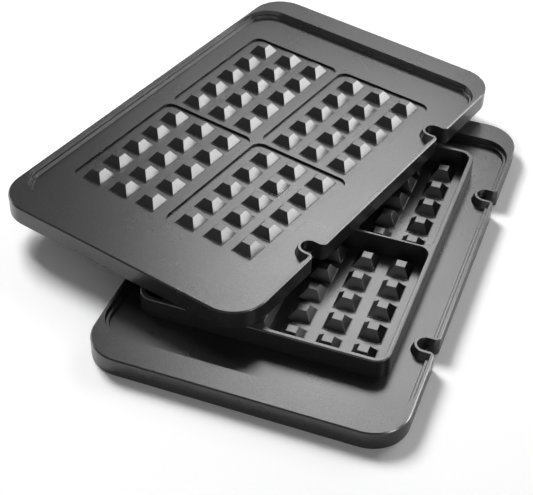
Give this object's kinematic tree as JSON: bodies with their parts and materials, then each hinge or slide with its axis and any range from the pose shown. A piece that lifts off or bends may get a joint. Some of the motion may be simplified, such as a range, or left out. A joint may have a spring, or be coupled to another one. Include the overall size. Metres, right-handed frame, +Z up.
{
  "type": "contact grill waffle plates",
  "caption": "Pair of rounded-rectangle removable waffle plates with studded wells, stepped pans and lock notches; one plate rests turned on the other's raised block.",
  "frame": {"origin": "middle of the lower plate's underside", "axes": "+X across the plates towards the lower plate's lock notches, +Y along them towards the far end, +Z up"},
  "size_m": [0.3471, 0.4563, 0.0398],
  "materials": {
    "coated_aluminium": "satin dark grey non-stick coating",
    "heater_sheath": "dull annealed steel tube",
    "terminal_moulding": "matt heat-resistant moulding",
    "pin_brass": "plated brass",
    "screw_steel": "zinc-plated steel"
  },
  "bodies": {
    "lower": {"lower_plate": "coated_aluminium", "lower_block": "coated_aluminium", "lower_studs_front_left": "coated_aluminium", "lower_studs_front_right": "coated_aluminium", "lower_studs_back_left": "coated_aluminium", "lower_studs_back_right": "coated_aluminium", "lower_heater": "heater_sheath", "lower_terminal_block": "terminal_moulding", "lower_contact_pins": "pin_brass", "lower_earth_pin": "pin_brass", "lower_terminal_screws": "screw_steel"},
    "upper": {"upper_plate": "coated_aluminium", "upper_studs_front_left": "coated_aluminium", "upper_studs_front_right": "coated_aluminium", "upper_studs_back_left": "coated_aluminium", "upper_studs_back_right": "coated_aluminium", "upper_heater": "heater_sheath", "upper_terminal_block": "terminal_moulding", "upper_contact_pins": "pin_brass", "upper_earth_pin": "pin_brass", "upper_terminal_screws": "screw_steel"}
  },
  "joints": [
    {"name": "upper_lift", "type": "slide", "parent": "lower", "child": "upper", "axis": [0, 0, 1], "range_m": [0, 0.12]}
  ]
}
